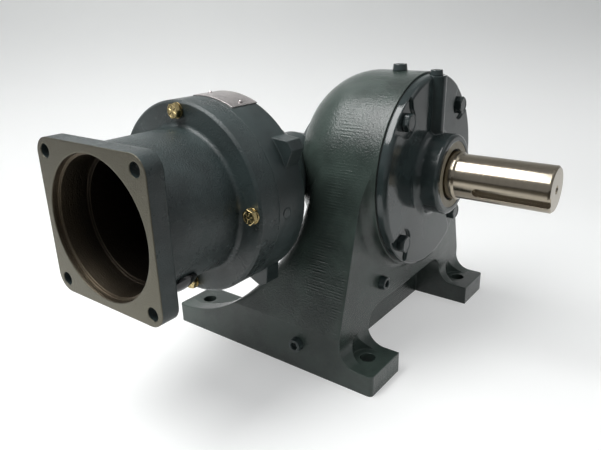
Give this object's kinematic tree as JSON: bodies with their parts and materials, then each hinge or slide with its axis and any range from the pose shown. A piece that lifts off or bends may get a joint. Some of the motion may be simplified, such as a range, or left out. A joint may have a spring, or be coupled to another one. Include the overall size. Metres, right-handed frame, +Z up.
{
  "type": "right-angle gear reducer",
  "caption": "Foot-mounted right-angle gear reducer: square motor flange, bevel stage, planetary stage and keyed output shaft in a cast arch casing.",
  "frame": {"origin": "centre of the four foot holes, on the mounting plane", "axes": "+X out along the output shaft, -Y out of the motor flange, +Z up"},
  "size_m": [0.3425, 0.406, 0.271],
  "materials": {
    "casting_paint": "gloss paint on rough casting",
    "smooth_paint": "gloss paint on smooth casting",
    "dark_fastener": "painted over",
    "zinc_yellow": "yellow zinc plate",
    "ground_steel": "ground and polished",
    "gear_steel": "machined, oiled",
    "bearing_steel": "ground",
    "bronze": "machined bronze",
    "seal_tan": "coated seal case",
    "black_rubber": "matt",
    "black_plastic": "gloss",
    "plate_metal": "bare plate"
  },
  "bodies": {
    "housing": {"main_casing": "casting_paint", "output_cover": "smooth_paint", "bevel_case": "smooth_paint", "motor_adaptor": "smooth_paint", "bearing_carrier": "smooth_paint", "end_cap": "smooth_paint", "cover_bolts": "dark_fastener", "filler_plug": "dark_fastener", "level_plug": "dark_fastener", "drain_plug": "dark_fastener", "rib_plug": "dark_fastener", "case_bolts": "dark_fastener", "end_cap_screws": "dark_fastener", "adaptor_bolts": "zinc_yellow", "adaptor_washers": "zinc_yellow", "ring_gear": "gear_steel", "ring_gear_pins": "gear_steel", "bearing_sleeve": "gear_steel", "front_bearing_outer_rings": "bearing_steel", "carrier_bearing_outer_rings": "bearing_steel", "sun_bearing_outer_rings": "bearing_steel", "pinion_bearing_outer_rings": "bearing_steel", "output_seal": "seal_tan", "output_seal_lip": "black_rubber", "input_seal": "black_rubber", "cover_gasket": "black_rubber", "access_plug": "black_plastic", "nameplate": "plate_metal", "nameplate_rivets": "plate_metal"},
    "output": {"output_shaft": "ground_steel", "carrier_plate": "gear_steel", "carrier_screws": "gear_steel", "planet_pins": "gear_steel", "front_bearing_inner_rings": "bearing_steel", "carrier_bearing_inner_rings": "bearing_steel"},
    "sun": {"sun_shaft": "gear_steel", "sun_spacer": "gear_steel", "bevel_wheel": "gear_steel", "bevel_wheel_key": "gear_steel", "bevel_wheel_nut": "gear_steel", "sun_bearing_inner_rings": "bearing_steel"},
    "input": {"pinion_shaft": "gear_steel", "pinion_spacer": "gear_steel", "pinion_retaining_ring": "gear_steel", "coupling_hub": "gear_steel", "coupling_key": "gear_steel", "coupling_spider": "black_rubber", "pinion_bearing_inner_rings": "bearing_steel"},
    "planet_1": {"planet_gear_1": "gear_steel", "planet_bush_1": "bronze"},
    "planet_2": {"planet_gear_2": "gear_steel", "planet_bush_2": "bronze"},
    "planet_3": {"planet_gear_3": "gear_steel", "planet_bush_3": "bronze"},
    "front_rollers": {"front_bearing_rollers": "bearing_steel"},
    "carrier_rollers": {"carrier_bearing_rollers": "bearing_steel"},
    "sun_rollers": {"sun_bearing_rollers": "bearing_steel"},
    "pinion_rollers": {"pinion_bearing_rollers": "bearing_steel"}
  },
  "joints": [
    {"name": "output_spin", "type": "hinge", "parent": "housing", "child": "output", "pos_m": [0, 0, 0.173], "axis": [1, 0, 0], "continuous": true},
    {"name": "sun_spin", "type": "hinge", "parent": "housing", "child": "sun", "pos_m": [0, 0, 0.173], "axis": [1, 0, 0], "continuous": true},
    {"name": "input_spin", "type": "hinge", "parent": "housing", "child": "input", "pos_m": [-0.026, 0, 0.173], "axis": [0, 1, 0], "continuous": true},
    {"name": "planet_1_spin", "type": "hinge", "parent": "output", "child": "planet_1", "pos_m": [0, 0.039, 0.173], "axis": [1, 0, 0], "continuous": true},
    {"name": "planet_2_spin", "type": "hinge", "parent": "output", "child": "planet_2", "pos_m": [0, -0.0195, 0.20677], "axis": [1, 0, 0], "continuous": true},
    {"name": "planet_3_spin", "type": "hinge", "parent": "output", "child": "planet_3", "pos_m": [0, -0.0195, 0.13923], "axis": [1, 0, 0], "continuous": true},
    {"name": "front_rollers_spin", "type": "hinge", "parent": "housing", "child": "front_rollers", "pos_m": [0, 0, 0.173], "axis": [1, 0, 0], "continuous": true},
    {"name": "carrier_rollers_spin", "type": "hinge", "parent": "housing", "child": "carrier_rollers", "pos_m": [0, 0, 0.173], "axis": [1, 0, 0], "continuous": true},
    {"name": "sun_rollers_spin", "type": "hinge", "parent": "housing", "child": "sun_rollers", "pos_m": [0, 0, 0.173], "axis": [1, 0, 0], "continuous": true},
    {"name": "pinion_rollers_spin", "type": "hinge", "parent": "housing", "child": "pinion_rollers", "pos_m": [-0.026, 0, 0.173], "axis": [0, 1, 0], "continuous": true}
  ],
  "couplings": [
    {"joint": "sun_spin", "follows": "output_spin", "ratio": 4.3333},
    {"joint": "input_spin", "follows": "output_spin", "ratio": 8.6667},
    {"joint": "planet_1_spin", "follows": "output_spin", "ratio": -2.8571},
    {"joint": "planet_2_spin", "follows": "output_spin", "ratio": -2.8571},
    {"joint": "planet_3_spin", "follows": "output_spin", "ratio": -2.8571},
    {"joint": "front_rollers_spin", "follows": "output_spin", "ratio": 0.45522},
    {"joint": "carrier_rollers_spin", "follows": "output_spin", "ratio": 0.44923},
    {"joint": "sun_rollers_spin", "follows": "output_spin", "ratio": 1.8754},
    {"joint": "pinion_rollers_spin", "follows": "output_spin", "ratio": 3.6648}
  ]
}
